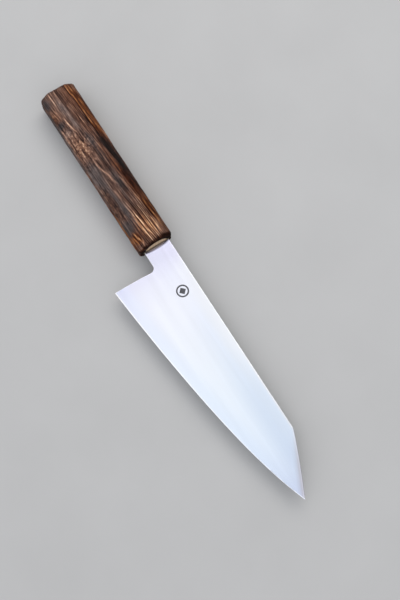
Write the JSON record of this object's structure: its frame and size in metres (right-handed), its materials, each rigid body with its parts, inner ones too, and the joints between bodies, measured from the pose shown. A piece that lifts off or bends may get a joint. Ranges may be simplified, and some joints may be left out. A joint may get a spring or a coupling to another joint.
{
  "type": "chef knife",
  "caption": "Chef knife with an angled-tip straight-spined blade and a rounded octagonal burnt-wood handle over a hidden tang.",
  "frame": {"origin": "centre of the flat end face of the handle's butt", "axes": "+X from the butt of the handle to the tip of the blade, +Y from the cutting edge towards the spine, +Z through the thickness; the blade's middle plane is Z = 0"},
  "size_m": [0.346, 0.0576, 0.023],
  "materials": {
    "blade_steel": "satin, fine lines along the blade, near-white under an open sky",
    "burnt_wood": "scorched and wire-brushed open-grained hardwood, oiled, dark grooves and tan ridges",
    "core_wood": "plain pale hardwood, sanded end grain, lightly scorched",
    "adhesive": "hard amber bedding adhesive",
    "sealant": "dark sealing bead, slightly waxy"
  },
  "bodies": {
    "root": {"blade": "blade_steel", "handle_barrel": "burnt_wood", "core_dowel_left": "core_wood", "core_dowel_right": "core_wood", "tang_bedding": "adhesive", "slot_seal": "sealant"}
  },
  "joints": []
}
